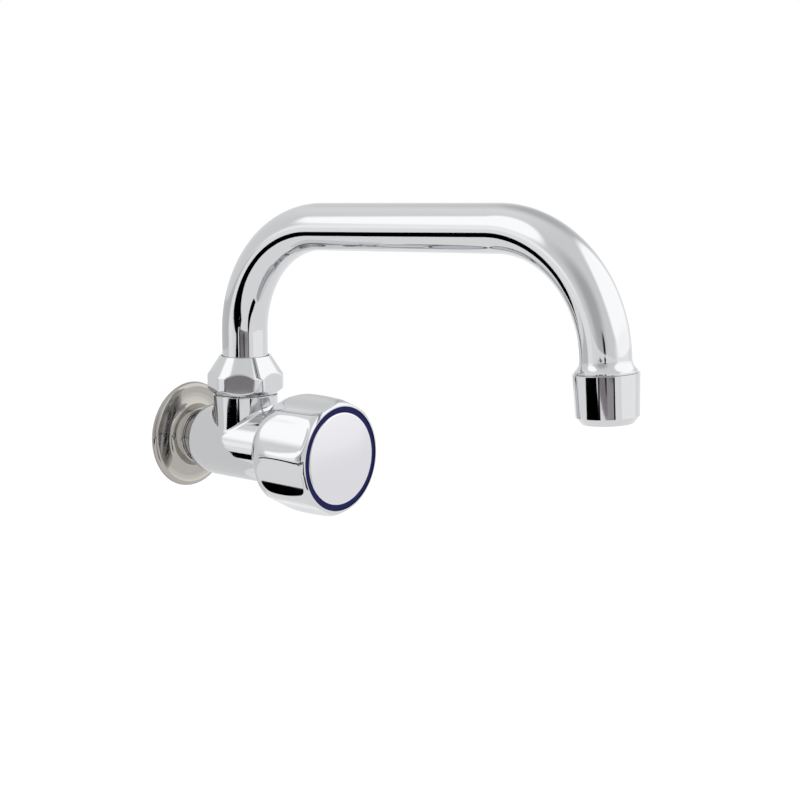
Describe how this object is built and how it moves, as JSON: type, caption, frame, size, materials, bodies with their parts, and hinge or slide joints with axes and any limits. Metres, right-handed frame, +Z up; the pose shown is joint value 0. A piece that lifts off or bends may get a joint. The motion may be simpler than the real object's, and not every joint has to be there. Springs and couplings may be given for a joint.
{
  "type": "swivel spout bib tap",
  "caption": "Wall-mounted bib tap with a long swivelling spout, an aerator at the outlet and a scalloped turning handle that lifts the valve.",
  "frame": {"origin": "where the inlet thread's axis meets the wall, on the back plane of the wall flange", "axes": "+Y into the wall along the inlet thread, -Y out of the wall along the barrel, +Z up along the spout's riser, X across"},
  "size_m": [0.0512, 0.248, 0.137],
  "materials": {
    "chromed_brass": "bright chrome plate on polished brass",
    "nickel_flange": "bright nickel plate, warmer than the chrome",
    "chromed_plastic": "bright chrome plate on moulded plastic",
    "blue_plastic": "gloss",
    "brass": "turned",
    "nylon": "moulded",
    "red_fibre": "vulcanised fibre",
    "black_rubber": "moulded",
    "stainless": "stamped and woven"
  },
  "bodies": {
    "tap": {"tap_body": "chromed_brass", "wall_flange": "nickel_flange", "spout_nut": "chromed_brass", "swivel_washer": "nylon", "slide_ring": "nylon", "head_washer": "red_fibre", "bonnet": "brass", "clip_washer": "stainless"},
    "spout": {"spout_tube": "chromed_brass", "spout_ferrule": "brass", "spout_o_rings": "black_rubber", "outlet_bush": "brass", "aerator_housing": "chromed_brass", "aerator_washer": "black_rubber", "aerator_cartridge": "nylon", "aerator_screens": "stainless"},
    "handle": {"spindle": "brass", "spindle_o_rings": "black_rubber", "spindle_clip": "stainless", "handle_knob": "chromed_plastic", "handle_insert": "brass", "handle_screw": "stainless", "index_ring": "blue_plastic", "index_cap": "chromed_plastic"},
    "valve": {"valve_slider": "brass", "valve_washer": "black_rubber", "valve_nut": "brass"}
  },
  "joints": [
    {"name": "spout_swivel", "type": "hinge", "parent": "tap", "child": "spout", "pos_m": [0, -0.0357, 0.0302], "axis": [0, 0, 1], "range_deg": [-90, 90]},
    {"name": "handle_turn", "type": "hinge", "parent": "tap", "child": "handle", "pos_m": [0, -0.0546, 0], "axis": [0, -1, 0], "range_deg": [0, 900]},
    {"name": "valve_lift", "type": "slide", "parent": "tap", "child": "valve", "axis": [0, -1, 0], "range_m": [0, 0.0045]}
  ],
  "couplings": [
    {"joint": "valve_lift", "follows": "handle_turn", "m_per_rad": 0.00028647}
  ]
}
